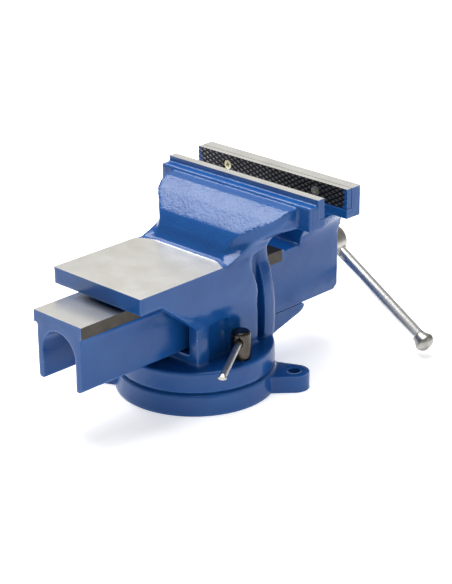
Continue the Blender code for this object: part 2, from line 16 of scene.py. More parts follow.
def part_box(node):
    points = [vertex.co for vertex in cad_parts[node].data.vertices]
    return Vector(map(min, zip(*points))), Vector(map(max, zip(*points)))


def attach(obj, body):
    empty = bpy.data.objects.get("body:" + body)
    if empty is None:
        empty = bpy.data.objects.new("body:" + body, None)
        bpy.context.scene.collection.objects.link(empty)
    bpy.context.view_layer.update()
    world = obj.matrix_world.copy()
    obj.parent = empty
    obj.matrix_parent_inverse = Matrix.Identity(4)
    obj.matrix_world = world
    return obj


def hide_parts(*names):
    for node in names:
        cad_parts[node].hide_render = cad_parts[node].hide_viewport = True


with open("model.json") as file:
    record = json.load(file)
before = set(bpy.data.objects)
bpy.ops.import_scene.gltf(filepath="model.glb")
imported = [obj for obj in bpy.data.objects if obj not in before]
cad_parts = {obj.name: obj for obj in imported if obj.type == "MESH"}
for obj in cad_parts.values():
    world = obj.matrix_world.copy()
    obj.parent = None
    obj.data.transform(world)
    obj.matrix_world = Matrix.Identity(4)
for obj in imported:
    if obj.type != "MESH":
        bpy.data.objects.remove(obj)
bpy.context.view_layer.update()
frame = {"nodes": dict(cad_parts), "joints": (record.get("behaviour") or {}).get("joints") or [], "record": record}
MM = 0.001
JOINTS = {joint["name"]: joint for joint in frame["joints"]}
MOUNTS = {mount["name"]: mount for mount in frame["record"]["mounts"]}


# %% [markdown]
# ## Reading sizes from the frame
# Most of this lesson thinks in millimetres, as a machinist does. A node's box, a joint's axis and a
# mount's point say where things are, so that nothing has to be fitted by eye.

# %% Boxes, joints and mounts in millimetres
def box_of(node):
    """The lowest and highest corner of a CAD node, in millimetres."""
    low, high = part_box(node)
    return np.array(low) / MM, np.array(high) / MM


SCREW_AT = np.array(JOINTS["screw_turn"]["pos_m"]) / MM      # where the handle crosses the screw
HANDLE_WAY = np.array(JOINTS["handle_slide"]["axis"])
ANVIL_TOP = MOUNTS["anvil_face"]["pos_m"][2] / MM
FIXED_FACE = MOUNTS["fixed_jaw_face"]["pos_m"][1] / MM
MOVING_FACE = MOUNTS["moving_jaw_face"]["pos_m"][1] / MM
DECK_BOTTOM = JOINTS["swivel"]["pos_m"][2] / MM
JAW_TOP = box_of("moving_jaw")[1][2]
print("jaw opening:", round(FIXED_FACE - MOVING_FACE, 1), "mm, jaw top:", round(JAW_TOP, 1), "mm")


# %% [markdown]
# ## Camera
# A long lens from behind and above, on the anvil's side, keeps the jaws and the beam almost parallel.
# The camera's axes are worked out from its three angles, and their matrix places it.

# %% Camera
CAMERA_AT = (-0.846, 0.838, 0.567)
CAMERA_YAW = 44.18                       # degrees from -Y towards +X
CAMERA_PITCH = 22.61                     # degrees below level
CAMERA_ROLL = 0.39
CAMERA_LENS = 109.4
SENSOR = 36.0


def camera_matrix(place, yaw, pitch, roll):
    """Rows of right, up and back from the angles: forward is level-forward tipped down by the pitch."""
    yaw, pitch, roll = (math.radians(angle) for angle in (yaw, pitch, roll))
    forward = Vector((math.sin(yaw) * math.cos(pitch), -math.cos(yaw) * math.cos(pitch), -math.sin(pitch)))
    right = forward.cross(Vector((0, 0, 1))).normalized()
    down = forward.cross(right)
    rolled_right = right * math.cos(roll) + down * math.sin(roll)
    rolled_down = down * math.cos(roll) - right * math.sin(roll)
    turn = Matrix((rolled_right, -rolled_down, -forward)).transposed()
    return Matrix.Translation(place) @ turn.to_4x4()


camera = bpy.data.objects.new("camera", bpy.data.cameras.new("camera"))
camera.data.sensor_width = SENSOR
camera.data.lens = CAMERA_LENS
camera.data.clip_end = 50.0
camera.matrix_world = camera_matrix(Vector(CAMERA_AT), CAMERA_YAW, CAMERA_PITCH, CAMERA_ROLL)
bpy.context.scene.collection.objects.link(camera)
bpy.context.scene.camera = camera
bpy.context.scene.view_settings.view_transform = "Standard"
print("camera distance:", round(Vector(CAMERA_AT).length, 3), "m")


# %% [markdown]
# ## Colour and nodes
# Paint charts and screens give colours as sRGB hex values, and Blender mixes light with linear ones, so
# one function turns the first into the second. A second small function adds a node with its settings
# and its links, which keeps each material down to the few lines that say what the finish is.

# %% Colour and node helpers
def linear(hex_code):
    """sRGB to linear: below 0.04045 a straight line, and above it a power of 2.4."""
    srgb = np.array([int(hex_code[i:i + 2], 16) for i in (1, 3, 5)]) / 255
    bright = ((srgb + 0.055) / 1.055) ** 2.4
    return (*np.where(srgb <= 0.04045, srgb / 12.92, bright).tolist(), 1.0)


def add(tree, kind, settings=None, links=None):
    """Adds a node. Settings are properties or sockets, and links lead from outputs to sockets."""
    node = tree.nodes.new(kind)
    settings = settings or {}
    for name in [n for n in settings if isinstance(n, str) and n not in node.inputs]:
        setattr(node, name, settings[name])
    for name in [n for n in settings if not isinstance(n, str) or n in node.inputs]:
        node.inputs[name].default_value = settings[name]
    for name, output in (links or {}).items():
        tree.links.new(output, node.inputs[name])
    return node


def finish_named(name, roughness, metallic, **sockets):
    """A material with a Principled shader, and its tree, shader and Object coordinates."""
    made = bpy.data.materials.new(name)
    made.use_nodes = True
    tree = made.node_tree
    shader = tree.nodes["Principled BSDF"]
    shader.inputs["Roughness"].default_value = roughness
    shader.inputs["Metallic"].default_value = metallic
    for socket, value in sockets.items():
        shader.inputs[socket.replace("_", " ")].default_value = value
    place = add(tree, "ShaderNodeTexCoord").outputs["Object"]
    return made, tree, shader, place


MIX_A, MIX_B, MIX_RESULT = 6, 7, 2       # the colour sockets of a Mix node


def mixed(tree, factor, first, second):
    """A colour between two hex colours or outputs, by a factor's output."""
    node = add(tree, "ShaderNodeMix", {"data_type": "RGBA"}, {0: factor})
    for index, value in ((MIX_A, first), (MIX_B, second)):
        if isinstance(value, str):
            node.inputs[index].default_value = linear(value)
        else:
            tree.links.new(value, node.inputs[index])
    return node.outputs[MIX_RESULT]


def ranged(tree, value, low, high, to_low=0.0, to_high=1.0):
    """Maps low..high to to_low..to_high, held at the ends."""
    settings = {"From Min": low, "From Max": high, "To Min": to_low, "To Max": to_high}
    return add(tree, "ShaderNodeMapRange", settings, {"Value": value}).outputs["Result"]


def noise(tree, place, size_mm, detail=2.0, roughness=0.5):
    """Noise whose lumps are about size_mm across."""
    settings = {"Scale": 1 / (size_mm * MM), "Detail": detail, "Roughness": roughness}
    return add(tree, "ShaderNodeTexNoise", settings, {"Vector": place}).outputs["Fac"]


def bumped(tree, height, depth_mm, strength=1.0, below=None):
    """A normal from a height of 0 to 1 that stands for depth_mm."""
    links = {"Height": height}
    if below is not None:
        links["Normal"] = below
    if not isinstance(strength, float):
        links["Strength"] = strength
    node = add(tree, "ShaderNodeBump", {"Distance": depth_mm * MM}, links)
    if isinstance(strength, float):
        node.inputs["Strength"].default_value = strength
    return node.outputs["Normal"]


def calculated(tree, operation, first, second):
    """A Math node's result from an output and an output or a number."""
    if isinstance(second, float):
        return add(tree, "ShaderNodeMath", {"operation": operation, 1: second}, {0: first}).outputs[0]
    return add(tree, "ShaderNodeMath", {"operation": operation}, {0: first, 1: second}).outputs[0]


def attribute(tree, name):
    """A number that the mesh carries at each point."""
    return add(tree, "ShaderNodeAttribute", {"attribute_name": name}).outputs["Fac"]


print("royal blue in linear:", [round(c, 3) for c in linear("#17488A")])


# %% [markdown]
# ## Blue enamel over a sand-cast skin
# The castings are sprayed with a gloss alkyd enamel straight over the sand-cast skin. Two scales show: a
# fine orange peel, almost two millimetres from lump to lump, which breaks the highlights into sparkles,
# and the slower waves of the sand mould. Sharp crests are a little lighter: paint pulls thin over them,
# and the lighter blue there is also a painted highlight along the outer edges. A few chips there and
# runs in the corners show pale. The meshes carry two numbers for this: `crest`, how sharply the skin
# bends outwards (or, below zero, inwards), and `peel`, how rough the casting was there.

# %% Gloss enamel
PEEL_MM = 1.8                            # orange peel, lump to lump
PEEL_DEPTH_MM = 0.3
SKIN_MM = 4.5                            # sand-cast waves
SKIN_DEPTH_MM = 0.22


def gloss_enamel():
    """Alkyd gloss enamel: saturated blue, a sharp sheen broken up by orange peel, pale crests (thin paint and a
    painted highlight) and chips.
    """
    made, tree, shader, place = finish_named("gloss_enamel_on_sand_casting", 0.2, 0.0, IOR=1.4)
    cloud = noise(tree, place, 38.0, 3.0)
    body = mixed(tree, ranged(tree, cloud, 0.35, 0.65), "#114686", "#154E8E")
    crest = attribute(tree, "crest")
    # painted highlight: outer crests are mixed towards a lighter blue, partly for thin paint and partly for the
    # light on rounded edges
    thin = ranged(tree, crest, 0.12, 0.6, 0.0, 0.3)
    crest_lit_body = mixed(tree, thin, body, "#4C79B8")
    grit = noise(tree, place, 1.6, 4.0, 0.7)
    speck = ranged(tree, grit, 0.66, 0.72)
    worn = ranged(tree, crest, 0.2, 0.5)
    pooled = ranged(tree, crest, -0.12, -0.4, 0.0, 0.8)
    either = calculated(tree, "MAXIMUM", worn, pooled)
    chip = calculated(tree, "MULTIPLY", speck, either)
    tree.links.new(mixed(tree, chip, crest_lit_body, "#A9BBD3"), shader.inputs["Base Color"])
    peel = attribute(tree, "peel")
    sand = noise(tree, place, SKIN_MM, 2.0)
    waves = bumped(tree, sand, SKIN_DEPTH_MM, ranged(tree, peel, 0.0, 1.0, 0.15, 0.8))
    orange = noise(tree, place, PEEL_MM, 2.5, 0.6)
    normal = bumped(tree, orange, PEEL_DEPTH_MM, ranged(tree, peel, 0.0, 1.0, 0.05, 1.0), waves)
    tree.links.new(normal, shader.inputs["Normal"])
    gloss = ranged(tree, noise(tree, place, 22.0, 3.0), 0.3, 0.7, 0.14, 0.24)
    tree.links.new(gloss, shader.inputs["Roughness"])
    return made


# %% [markdown]
# ## Bare milled iron
# A face mill leaves grey iron light and slightly warm, with faint arcs about a millimetre apart. Where
# the beam rubs in the body it is oiled, so it is browner there, and darker: partly for the oil, and
# partly as painted shade, since these faces sit in shade. Grey iron holds specks of graphite, which show
# as tiny dark pores.

# %% Milled iron
FEED_MM = 0.9                            # from one tool arc to the next
RING_SPACING = 0.314                     # a Wave texture's rings lie this far apart at a scale of 1


def milled_iron(name, light, dark, roughness):
    """Face-milled grey iron: broad soft reflections with faint tool arcs and dark graphite pores."""
    made, tree, shader, place = finish_named(name, roughness, 1.0)
    settings = {"Location": (0.0, 0.4, 0.0)}                 # the cutter's centre is far to one side
    centre = add(tree, "ShaderNodeMapping", settings, {"Vector": place}).outputs["Vector"]
    rings = {"wave_type": "RINGS", "rings_direction": "Z", "Scale": RING_SPACING / (FEED_MM * MM),
             "Distortion": 1.5, "Detail": 2.0, "Detail Scale": 0.6}
    arcs = add(tree, "ShaderNodeTexWave", rings, {"Vector": centre}).outputs["Fac"]
    blotch = noise(tree, place, 17.0, 4.0, 0.6)
    tone = mixed(tree, ranged(tree, blotch, 0.35, 0.7), light, dark)
    pores = ranged(tree, noise(tree, place, 1.1, 3.0, 0.7), 0.66, 0.74, 0.0, 0.5)
    tree.links.new(mixed(tree, pores, tone, "#5A544C"), shader.inputs["Base Color"])
    rough = ranged(tree, arcs, 0.0, 1.0, roughness - 0.04, roughness + 0.06)
    tree.links.new(rough, shader.inputs["Roughness"])
    tree.links.new(bumped(tree, arcs, 0.004, 0.5), shader.inputs["Normal"])
    return made


# %% [markdown]
# ## Steels
# Every round part is turned, so its finest marks run round its axis. The meshes carry `run`, the
# distance along the piece's own axis in millimetres, and the tool marks are noise along that one
# number. What differs is the finish: the handle is polished and its knobs are as forged, the lock nuts
# are dark satin, the screw and the lock bars are as turned, washers and bolts are zinc plated, and the
# plate screws are yellow zinc plated.

# %% Turned steels
def turned_steel(name, light, dark, roughness, mark_mm, depth_mm):
    """Turned bar: stretched highlights along the piece, broken by rings round its axis."""
    made, tree, shader, place = finish_named(name, roughness, 1.0)
    run = attribute(tree, "run")
    scaled = calculated(tree, "MULTIPLY", run, 1 / mark_mm)
    rings = add(tree, "ShaderNodeTexNoise", {"noise_dimensions": "1D", "Scale": 1.0, "Detail": 3.0},
                {"W": scaled}).outputs["Fac"]
    stain = noise(tree, place, 6.0, 4.0, 0.6)
    tone = mixed(tree, ranged(tree, stain, 0.35, 0.7), light, dark)
    tree.links.new(tone, shader.inputs["Base Color"])
    rough = ranged(tree, rings, 0.3, 0.7, roughness * 0.8, roughness * 1.25)
    tree.links.new(rough, shader.inputs["Roughness"])
    tree.links.new(bumped(tree, rings, depth_mm, 0.8), shader.inputs["Normal"])
    return made


def plated_steel(name, light, dark, roughness):
    """Zinc plating: a soft metallic sheen with clouds from the passivating bath."""
    made, tree, shader, place = finish_named(name, roughness, 1.0)
    tone = mixed(tree, ranged(tree, noise(tree, place, 2.4, 3.0, 0.6), 0.35, 0.65), light, dark)
    tree.links.new(tone, shader.inputs["Base Color"])
    fine = bumped(tree, noise(tree, place, 0.5, 2.0), 0.012, 0.6)
    tree.links.new(fine, shader.inputs["Normal"])
    return made


def black_plate_steel():
    """Hardened, blackened steel: near black in the cuts, and rubbed grey on the points (`land`)."""
    made, tree, shader, place = finish_named("blackened_hardened_steel", 0.42, 0.75)
    cloud = noise(tree, place, 9.0, 4.0, 0.6)
    dark = mixed(tree, ranged(tree, cloud, 0.3, 0.7), "#141416", "#222226")
    rubbed = mixed(tree, ranged(tree, cloud, 0.3, 0.7), "#8A8A90", "#62626A")
    land = attribute(tree, "land")
    tree.links.new(mixed(tree, land, dark, rubbed), shader.inputs["Base Color"])
    fine = bumped(tree, noise(tree, place, 0.6, 3.0), 0.02, 0.5)
    tree.links.new(fine, shader.inputs["Normal"])
    return made


def sand_cast_iron():
    """Bare sand casting: dull dark grey grains with rusty clouds."""
    made, tree, shader, place = finish_named("bare_sand_cast_iron", 0.62, 0.6)
    rust = ranged(tree, noise(tree, place, 8.0, 4.0, 0.6), 0.5, 0.75, 0.0, 0.6)
    tree.links.new(mixed(tree, rust, "#4C4946", "#5E4636"), shader.inputs["Base Color"])
    tree.links.new(bumped(tree, noise(tree, place, 0.9, 3.0, 0.6), 0.09, 0.8), shader.inputs["Normal"])
    return made


ENAMEL = gloss_enamel()
MILLED = milled_iron("face_milled_iron", "#E9E7E1", "#DAD7CF", 0.29)
# painted shade: the oiled strips are brown for the oil, and darker still to stand in for the shade they sit in
OILED_AND_SHADED = milled_iron("oiled_and_shaded_guide_strip", "#4C4843", "#3A3733", 0.38)
POLISHED = turned_steel("polished_bar_steel", "#EFEEEC", "#DCDBD9", 0.27, 0.5, 0.0012)
FORGED = turned_steel("forged_knob_steel", "#A9A7A2", "#8D8B86", 0.36, 1.6, 0.012)
SATIN = turned_steel("satin_turned_steel", "#524C47", "#3E3934", 0.24, 0.35, 0.004)
TURNED = turned_steel("turned_screw_steel", "#B4B2AE", "#9C9A95", 0.3, 0.4, 0.008)
ZINC = plated_steel("bright_zinc_plate", "#C6C8CC", "#ACAFB6", 0.32)
YELLOW = plated_steel("yellow_zinc_plate", "#F3ECD0", "#DDD2A8", 0.32)
BLACKENED = black_plate_steel()
CAST = sand_cast_iron()
print("materials:", [m.name for m in bpy.data.materials])


# %% [markdown]
# ## Surfaces from numpy
# A surface here is an array of points with rows and columns. Each row is a closed ring, and the first
# and last rows close on a middle point, so that the piece is one closed skin. A turned piece is a
# profile of (radius, run) carried round an axis.

# %% Mesh from arrays
def mesh_object(name, points_mm, faces, finishes, face_finish=None, smooth_angle=35.0, **numbers):
    """An object at the origin with its place in its mesh. `numbers` are floats that each point carries."""
    mesh = bpy.data.meshes.new(name)
    mesh.from_pydata((points_mm * MM).tolist(), [], faces)
    for finish in finishes:
        mesh.materials.append(finish)
    if face_finish is not None:
        mesh.polygons.foreach_set("material_index", face_finish.astype(np.int32))
    for number, values in numbers.items():
        made = mesh.attributes.new(number, "FLOAT", "POINT")
        made.data.foreach_set("value", values.astype(np.float32))
    mesh.shade_smooth()
    mesh.set_sharp_from_angle(angle=math.radians(smooth_angle))
    piece = bpy.data.objects.new(name, mesh)
    bpy.context.scene.collection.objects.link(piece)
    return piece


def rings_to_faces(rows, columns):
    """Quads between neighbouring rings, and triangles from the end rings to the two middle points."""
    row, column = np.meshgrid(np.arange(rows - 1), np.arange(columns), indexing="ij")
    here = row * columns + column
    beside = row * columns + (column + 1) % columns
    quads = np.stack([here, beside, beside + columns, here + columns], -1).reshape(-1, 4)
    ring = np.arange(columns)
    following = (ring + 1) % columns
    last = (rows - 1) * columns
    start = np.stack([np.full(columns, rows * columns), following, ring], -1)
    end = np.stack([np.full(columns, rows * columns + 1), last + ring, last + following], -1)
    return quads.tolist() + start.tolist() + end.tolist()


def with_middles(points):
    """Rings as one list of points, with the middle of the first and last ring added."""
    return np.concatenate([points.reshape(-1, 3), points[:1].mean(1), points[-1:].mean(1)])


def axis_frame(way):
    """Two directions square to `way` and to each other, and `way` itself, right-handed."""
    way = np.array(way, float) / np.linalg.norm(way)
    side = np.cross(way, (0, 0, 1) if abs(way[2]) < 0.9 else (1, 0, 0))
    side /= np.linalg.norm(side)
    return side, np.cross(way, side), way


def rounded(profile, radius, steps=4):
    """Rounds the inner corners of a (radius, run) profile: each becomes a quadratic curve of that reach."""
    profile = np.array(profile, float)
    before, corner, after = profile[:-2], profile[1:-1], profile[2:]

    def towards(target):
        """The point at the rounding's reach from each corner, but not quite half way along."""
        way = target - corner
        length = np.linalg.norm(way, axis=1, keepdims=True)
        return corner + way * np.minimum(radius / length, 0.45)

    t = np.linspace(0, 1, steps + 1)[None, :, None]
    start, stop = towards(before)[:, None], towards(after)[:, None]
    curve = (1 - t) ** 2 * start + 2 * t * (1 - t) * corner[:, None] + t ** 2 * stop
    return np.concatenate([profile[:1], curve.reshape(-1, 2), profile[-1:]])


def turned_points(profile, at, way, columns):
    """Points of a turned piece: at + way * run + radius * (cos, sin) round the axis."""
    side, up, way = axis_frame(way)
    angle = np.arange(columns) * math.tau / columns
    around = np.cos(angle)[:, None] * side + np.sin(angle)[:, None] * up
    radius, run = profile[:, 0], profile[:, 1]
    return np.array(at) + run[:, None, None] * way + radius[:, None, None] * around[None]


def turned_piece(name, profile, at, way, columns, finish, shaped=None):
    """A closed turned piece. `shaped` may change its rings of points before they become a mesh."""
    points = turned_points(profile, at, way, columns)
    if shaped:
        points = shaped(points)
    run = np.append(np.repeat(profile[:, 1], columns), [profile[0, 1], profile[-1, 1]])
    return mesh_object(name, with_middles(points), rings_to_faces(len(profile), columns), [finish], run=run)


def cut_away(piece, cutter):
    """Cuts one closed piece out of another with an exact Boolean, and removes the cutter."""
    change = piece.modifiers.new("cut", "BOOLEAN")
    change.operation = "DIFFERENCE"
    change.object = cutter
    depsgraph = bpy.context.evaluated_depsgraph_get()
    result = bpy.data.meshes.new_from_object(piece.evaluated_get(depsgraph))
    piece.modifiers.clear()
    piece.data = result
    bpy.data.objects.remove(cutter, do_unlink=True)
    result.set_sharp_from_angle(angle=math.radians(35))


def placed(piece, body, slot, *nodes):
    """Lets a finished piece ride on its body and stand for its nodes. Its slot is not used."""
    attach(piece, body)
    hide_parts(*nodes)
    print(piece.name, "faces:", len(piece.data.polygons))


# %% [markdown]
# ## From a faceted solid to a casting
# The three castings start from their CAD solids, which have the right planes and edges but no foundry
# fillets. A Remesh in Sharp mode covers the solid with quads of about a millimetre and keeps its
# creases. Relaxing the points towards their neighbours then does what a pattern maker's wax does: inner
# corners fill to a radius, and outer ones lose their edge. Milled faces are cut after casting, so
# their points are held.

# %% Remeshing and relaxing
def quads_over(node, cell_mm):
    """Points in millimetres, quads and edges of a Remesh over a merged copy of a node's mesh."""
    mesh = frame["nodes"][node].data.copy()
    bm = bmesh.new()
    bm.from_mesh(mesh)
    bmesh.ops.remove_doubles(bm, verts=bm.verts, dist=1e-6)
    bm.to_mesh(mesh)
    bm.free()
    rough = bpy.data.objects.new("rough_casting", mesh)
    bpy.context.scene.collection.objects.link(rough)
    low, high = box_of(node)
    remesh = rough.modifiers.new("Remesh", "REMESH")
    remesh.mode = "SHARP"
    remesh.octree_depth = 8
    remesh.scale = min(0.99, float((high - low).max()) / (cell_mm * 2 ** remesh.octree_depth))
    fine = bpy.data.meshes.new_from_object(rough.evaluated_get(bpy.context.evaluated_depsgraph_get()))
    bpy.data.objects.remove(rough, do_unlink=True)
    points = np.empty(len(fine.vertices) * 3)
    fine.vertices.foreach_get("co", points)
    quads = np.empty(len(fine.loops), int)
    fine.loops.foreach_get("vertex_index", quads)
    edges = np.empty(len(fine.edges) * 2, int)
    fine.edges.foreach_get("vertices", edges)
    return points.reshape(-1, 3) / MM, quads.reshape(-1, 4), edges.reshape(-1, 2)


def neighbour_mean(points, edges):
    """Each point's mean of its neighbours."""
    first, second = edges.T
    count = np.bincount(edges.ravel(), minlength=len(points))
    total = np.stack([np.bincount(first, points[second, k], len(points)) +
                      np.bincount(second, points[first, k], len(points)) for k in range(points.shape[1])], -1)
    return total / np.maximum(count, 1)[:, None]


def relaxed(points, edges, steps, freedom):
    """Moves each point half way to its neighbours' mean, times its freedom, several times."""
    for _ in range(steps):
        points = points + (neighbour_mean(points, edges) - points) * 0.5 * freedom[:, None]
    return points


def face_ways(points, quads):
    """Each quad's middle and unit normal, from the cross product of its diagonals."""
    corners = points[quads]
    normal = np.cross(corners[:, 2] - corners[:, 0], corners[:, 3] - corners[:, 1])
    length = np.linalg.norm(normal, axis=1, keepdims=True)
    return corners.mean(1), normal / np.maximum(length, 1e-9)


def point_ways(points, quads):
    """Each point's unit normal, the mean of its quads' normals."""
    _, normal = face_ways(points, quads)
    total = np.stack([np.bincount(quads.ravel(), np.repeat(side, 4), len(points)) for side in normal.T], -1)
    return total / np.maximum(np.linalg.norm(total, axis=1, keepdims=True), 1e-9)


def skin_waves(points, seed, shortest=7.0, longest=26.0, count=28):
    """A gentle lumpy field from -1 to 1: sines in many directions, wavelengths in millimetres."""
    random = np.random.default_rng(seed)
    way = random.normal(size=(count, 3))
    way /= np.linalg.norm(way, axis=1, keepdims=True)
    wave = math.tau / random.uniform(shortest, longest, count)
    phase = random.uniform(0, math.tau, count)
    return np.sin(points @ (way * wave[:, None]).T + phase).sum(1) / math.sqrt(count / 2) / 2.5


def smoothstep(value, low, high):
    """0 below low, 1 above high, and a smooth curve between them."""
    t = np.clip((value - low) / (high - low), 0, 1)
    return t * t * (3 - 2 * t)


EDGE_STEPS = 3                           # rounds of relaxing that outer corners take
WAVE_MM = 0.09                           # height of the slow lumps


def casting(node, finishes, cut_faces, held_faces, peel_of, seed, cell_mm=1.15, fillet_steps=26,
            raised_by=None):
    """A casting's fine skin over a CAD node.

    `cut_faces` gives 0 for enamel or 1, 2... for the bare finishes, from quad middles and normals.
    Inner corners take the points relaxed over many steps, outer corners those relaxed over a few, and
    between them the choice follows how far the long relaxing pulled the point inwards. `raised_by`
    gives a height along the normal for free points, such as a bead.
    """
    points, quads, edges = quads_over(node, cell_mm)
    low, high = box_of(node)
    middle, way = face_ways(points, quads)
    finish = cut_faces(middle, way)
    held = (finish > 0) | held_faces(middle, way)
    freedom = np.ones(len(points))
    freedom[quads[held].ravel()] = 0.0
    normal = point_ways(points, quads)
    filled = relaxed(points, edges, fillet_steps, freedom)
    eased = relaxed(points, edges, EDGE_STEPS, freedom)
    inward = -((filled - points) * normal).sum(1)
    share = smoothstep(inward, 0.15, 0.7)
    share = relaxed(share[:, None], edges, 2, np.ones(len(points)))
    skin = filled * (1 - share) + eased * share
    normal = point_ways(skin, quads)
    height = skin_waves(skin, seed) * WAVE_MM
    if raised_by:
        height = height + raised_by(skin)
    skin = skin + normal * (height * freedom)[:, None]
    skin = np.clip(skin, low, high)
    crest = ((skin - neighbour_mean(skin, edges)) * normal).sum(1) / cell_mm
    return mesh_object(f"{node}_skin", skin, quads.tolist(), finishes, finish, 50.0,
                       crest=np.clip(crest * 4, -1, 1), peel=peel_of(skin, normal))


def on_plane(middle, way, axis, level, facing, reach=0.35):
    """Quads on the plane where `axis` (0, 1 or 2) is `level`, which face +1 or -1 along it."""
    return (np.abs(middle[:, axis] - level) < reach) & (way[:, axis] * facing > 0.95)


# %% [markdown]
# ## Swivel base
# The base is a round foot with two lugs. Its top is milled, because the deck turns on it, and its
# underside is ground flat for the bench. Everything else keeps its painted sand-cast skin.

# %% Swivel base
def base_cuts(middle, way):
    """The top ring is milled, and the foot is ground."""
    return (on_plane(middle, way, 2, DECK_BOTTOM, 1) | on_plane(middle, way, 2, 0.0, -1)).astype(int)


def nothing_held(middle, way):
    """No painted face is held."""
    return np.zeros(len(middle), bool)


def even_peel(skin, normal):
    """The same fine skin all over."""
    return np.full(len(skin), 0.3)


base = casting("swivel_base", [ENAMEL, MILLED], base_cuts, nothing_held, even_peel, 11, 1.0, 10)
placed(base, "base", "blue_enamel", "swivel_base")

# %% [markdown]
# ## Fixed body
# Deck, trunk, tunnel, anvil and rear jaw are one casting. Bare iron shows on the anvil's top, on the
# jaw's top strip and in the tunnel, where the beam slides. The anvil's milling stops just short of the
# flare, and leaves a painted bead at its foot. The flare's rear was cast against coarse sand, so it has
# the strongest orange peel.

# %% Fixed body
FLARE_FOOT = 10.5                        # the milling of the anvil stops here in the middle
FOOT_HALF = 33.0                         # and beyond this the line slants back
TUNNEL_HALF = 24.7
TUNNEL_TOP = 92.1
SILL_TOP = 41.6
SILL_BACK = -30.0                        # the sill in front of the trunk ends here
OILED_AND_SHADED_FRONT = -50.0                        # the tunnel's sides are oiled, and painted darker as shade, from here to the back
PLATE_SEAT = 5.3                         # depth of the plates' pockets
POCKET_LOW = 127.0                       # the pockets lie above this
FLARE_LOW, FLARE_FULL = 106.0, 112.0     # the flare's rough skin starts between these levels
BEAD_HIGH = 0.7
BEAD_HALF = 0.9


def foot_line(x):
    """Where the milling of the anvil stops: straight in the middle, and slanting back at the corners."""
    return FLARE_FOOT + 0.5 * np.maximum(np.abs(x) - FOOT_HALF, 0)


def flare_bead(skin):
    """A rounded bead of filler and paint along the line where the milling stops."""
    x, y, z = skin.T
    along = smoothstep(FOOT_HALF - np.abs(x), -1, 3)
    hump = np.exp(-((y - FLARE_FOOT + 1.5) / BEAD_HALF) ** 2)
    return BEAD_HIGH * hump * along * (np.abs(z - ANVIL_TOP) < 3)


def body_cuts(middle, way):
    """Milled: anvil top, jaw strip and deck underside. Oiled and darkened as painted shade: the tunnel's roof,
    sides and sill.
    """
    x, y, z = middle.T
    anvil = on_plane(middle, way, 2, ANVIL_TOP, 1) & (y > foot_line(x))
    strip = on_plane(middle, way, 2, JAW_TOP, 1)
    under = on_plane(middle, way, 2, DECK_BOTTOM, -1, 0.6)
    seat = on_plane(middle, way, 1, FIXED_FACE + PLATE_SEAT, -1) & (z > POCKET_LOW)
    roof = on_plane(middle, way, 2, TUNNEL_TOP, -1)
    sill = on_plane(middle, way, 2, SILL_TOP, 1) & (y < SILL_BACK)
    sides = (np.abs(np.abs(x) - TUNNEL_HALF) < 0.35) & (np.abs(way[:, 0]) > 0.95)
    sides &= (z > SILL_TOP) & (z < TUNNEL_TOP) & (y > OILED_AND_SHADED_FRONT)
    return np.where(anvil | strip | under | seat, 1, np.where(roof | sill | sides, 2, 0))


def pocket_held(middle, way):
    """The pocket's floor and ends, so that the plate keeps its seat."""
    x, y, z = middle.T
    return (np.abs(y - FIXED_FACE) < PLATE_SEAT + 0.5) & (z > POCKET_LOW)


def flare_peel(skin, normal):
    """Strong on the flare's rear, and faint on the flat cheeks."""
    x, y, z = skin.T
    rear = smoothstep(normal[:, 1], -0.2, 0.5) * smoothstep(z, FLARE_LOW, FLARE_FULL)
    return 0.15 + 0.85 * rear


body = casting("fixed_body", [ENAMEL, MILLED, OILED_AND_SHADED], body_cuts, pocket_held, flare_peel, 23,
               fillet_steps=9, raised_by=flare_bead)
placed(body, "turret", "blue_enamel", "fixed_body")

# %% [markdown]
# ## Moving jaw
# The slide beam, its neck and the front jaw are the third casting. The beam's top and the guide strips
# along its upper edges are milled as far as the beam slides into the body, and the paint starts again
# beyond a line across it. The strips, and the part of the top that the tunnel rubs, are dark with oil
# and with painted shade.

# %% Moving jaw
GUIDE_END = -67.5                        # the beam is painted from here to the front
RUB_END = -40.0                          # the tunnel rubs the beam's top from here to the front
BEAM_TOP = 91.7
BEAM_HALF = 24.3
GUIDE_BOTTOM = 82.5
THRUST_Y = -131.0
THRUST_R = 14.5


def jaw_cuts(middle, way):
    """Milled: jaw top, beam top and thrust face. Oiled and darkened as painted shade: the guide strips and the
    rubbed end of the top.
    """
    x, y, z = middle.T
    top = on_plane(middle, way, 2, JAW_TOP, 1)
    seat = on_plane(middle, way, 1, MOVING_FACE - PLATE_SEAT, 1) & (z > POCKET_LOW)
    beam = on_plane(middle, way, 2, BEAM_TOP, 1) & (y > GUIDE_END)
    rubbed = beam & (y < RUB_END)
    strip = (np.abs(np.abs(x) - BEAM_HALF) < 0.3) & (np.abs(way[:, 0]) > 0.95) & (z > GUIDE_BOTTOM)
    boss = on_plane(middle, way, 1, THRUST_Y, -1) & (np.hypot(x, z - SCREW_AT[2]) < THRUST_R)
    oiled_and_shaded = rubbed | (strip & (y > GUIDE_END))
    return np.where(oiled_and_shaded, 2, np.where(top | seat | beam | boss, 1, 0))


def jaw_pocket_held(middle, way):
    """The moving jaw's pocket keeps its floor and ends too."""
    x, y, z = middle.T
    return (np.abs(y - MOVING_FACE) < PLATE_SEAT + 0.5) & (z > POCKET_LOW)


jaw = casting("moving_jaw", [ENAMEL, MILLED, OILED_AND_SHADED], jaw_cuts, jaw_pocket_held, even_peel, 37, 1.25)
placed(jaw, "carriage", "blue_enamel", "moving_jaw")

# %% [markdown]
# ## Jaw plates
# Each jaw carries a hardened plate with diagonal hatching, cut as two crossing sets of V grooves. What
# is left between the grooves is a field of small diamonds that bite into the work. The plate is a grid
# over its face, and its depth at (x, z) is the deeper of the two sets' grooves there. The castings are
# sprayed with their plates on and masked, but the masking stops short of the ends, so these are blue,
# with a ragged edge. The top is ground bare afterwards.

